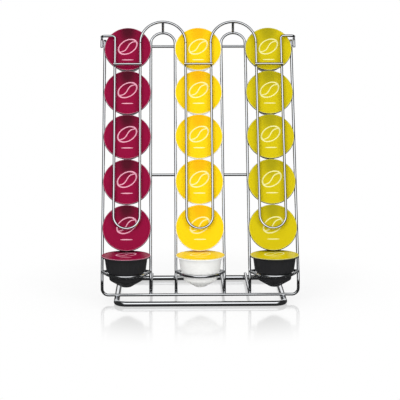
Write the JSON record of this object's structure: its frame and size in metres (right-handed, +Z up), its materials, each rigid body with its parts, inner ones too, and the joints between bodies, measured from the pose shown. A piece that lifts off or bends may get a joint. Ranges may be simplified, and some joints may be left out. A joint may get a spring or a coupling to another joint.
{
  "type": "coffee capsule dispenser",
  "caption": "Chromed wire rack that feeds leaning columns of foil-lidded coffee capsules down to upright cradles at its foot.",
  "frame": {"origin": "on the table, under the middle of the object's box", "axes": "+X to the right seen from the front, +Y to the back, +Z up"},
  "size_m": [0.2262, 0.1894, 0.3017],
  "materials": {
    "chrome_wire": "polished chrome plating on steel wire",
    "dark_cup": "satin black moulded plastic",
    "white_cup": "satin white moulded plastic",
    "magenta_foil": "deep magenta printed foil",
    "yellow_foil": "yellow printed foil",
    "lime_foil": "lime yellow printed foil"
  },
  "bodies": {
    "rack": {"base_loop": "chrome_wire", "outer_frame": "chrome_wire", "inner_hoop_left": "chrome_wire", "inner_hoop_right": "chrome_wire", "front_guide_left": "chrome_wire", "front_guide_middle": "chrome_wire", "front_guide_right": "chrome_wire", "front_arch_left": "chrome_wire", "front_arch_right": "chrome_wire", "arch_strut_left": "chrome_wire", "arch_strut_right": "chrome_wire", "upper_tie_left": "chrome_wire", "upper_tie_right": "chrome_wire", "lower_tie_left": "chrome_wire", "lower_tie_right": "chrome_wire", "guide_tie_left": "chrome_wire", "guide_tie_middle": "chrome_wire", "guide_tie_right": "chrome_wire", "cradle_front_left": "chrome_wire", "cradle_front_middle": "chrome_wire", "cradle_front_right": "chrome_wire", "cradle_rear_left": "chrome_wire", "cradle_rear_middle": "chrome_wire", "cradle_rear_right": "chrome_wire"},
    "left_standing": {"left_capsule_1_cup": "dark_cup", "left_capsule_1_lid": "magenta_foil"},
    "left_stack": {"left_capsule_2_cup": "dark_cup", "left_capsule_2_lid": "magenta_foil", "left_capsule_3_cup": "dark_cup", "left_capsule_3_lid": "magenta_foil", "left_capsule_4_cup": "dark_cup", "left_capsule_4_lid": "magenta_foil", "left_capsule_5_cup": "dark_cup", "left_capsule_5_lid": "magenta_foil"},
    "left_top": {"left_capsule_6_cup": "dark_cup", "left_capsule_6_lid": "magenta_foil"},
    "middle_standing": {"middle_capsule_1_cup": "white_cup", "middle_capsule_1_lid": "yellow_foil"},
    "middle_stack": {"middle_capsule_2_cup": "white_cup", "middle_capsule_2_lid": "yellow_foil", "middle_capsule_3_cup": "white_cup", "middle_capsule_3_lid": "yellow_foil", "middle_capsule_4_cup": "white_cup", "middle_capsule_4_lid": "yellow_foil", "middle_capsule_5_cup": "white_cup", "middle_capsule_5_lid": "yellow_foil"},
    "middle_top": {"middle_capsule_6_cup": "white_cup", "middle_capsule_6_lid": "yellow_foil"},
    "right_standing": {"right_capsule_1_cup": "dark_cup", "right_capsule_1_lid": "lime_foil"},
    "right_stack": {"right_capsule_2_cup": "dark_cup", "right_capsule_2_lid": "lime_foil", "right_capsule_3_cup": "dark_cup", "right_capsule_3_lid": "lime_foil", "right_capsule_4_cup": "dark_cup", "right_capsule_4_lid": "lime_foil", "right_capsule_5_cup": "dark_cup", "right_capsule_5_lid": "lime_foil"},
    "right_top": {"right_capsule_6_cup": "dark_cup", "right_capsule_6_lid": "lime_foil"}
  },
  "joints": [
    {"name": "left_tip_out", "type": "hinge", "parent": "rack", "child": "left_standing", "pos_m": [-0.0814, -0.08967, 0.0324], "axis": [1, 0, 0], "range_deg": [0, 60]},
    {"name": "left_stack_rise", "type": "slide", "parent": "rack", "child": "left_stack", "axis": [0, 0.4695, 0.8829], "range_m": [0, 0.056]},
    {"name": "left_top_lift", "type": "slide", "parent": "left_stack", "child": "left_top", "axis": [0, 0.4695, 0.8829], "range_m": [0, 0.065]},
    {"name": "middle_tip_out", "type": "hinge", "parent": "rack", "child": "middle_standing", "pos_m": [0, -0.08967, 0.0324], "axis": [1, 0, 0], "range_deg": [0, 60]},
    {"name": "middle_stack_rise", "type": "slide", "parent": "rack", "child": "middle_stack", "axis": [0, 0.4695, 0.8829], "range_m": [0, 0.056]},
    {"name": "middle_top_lift", "type": "slide", "parent": "middle_stack", "child": "middle_top", "axis": [0, 0.4695, 0.8829], "range_m": [0, 0.065]},
    {"name": "right_tip_out", "type": "hinge", "parent": "rack", "child": "right_standing", "pos_m": [0.0814, -0.08967, 0.0324], "axis": [1, 0, 0], "range_deg": [0, 60]},
    {"name": "right_stack_rise", "type": "slide", "parent": "rack", "child": "right_stack", "axis": [0, 0.4695, 0.8829], "range_m": [0, 0.056]},
    {"name": "right_top_lift", "type": "slide", "parent": "right_stack", "child": "right_top", "axis": [0, 0.4695, 0.8829], "range_m": [0, 0.065]}
  ],
  "couplings": [
    {"joint": "left_stack_rise", "follows": "left_tip_out", "m_per_rad": 0.053},
    {"joint": "middle_stack_rise", "follows": "middle_tip_out", "m_per_rad": 0.053},
    {"joint": "right_stack_rise", "follows": "right_tip_out", "m_per_rad": 0.053}
  ]
}
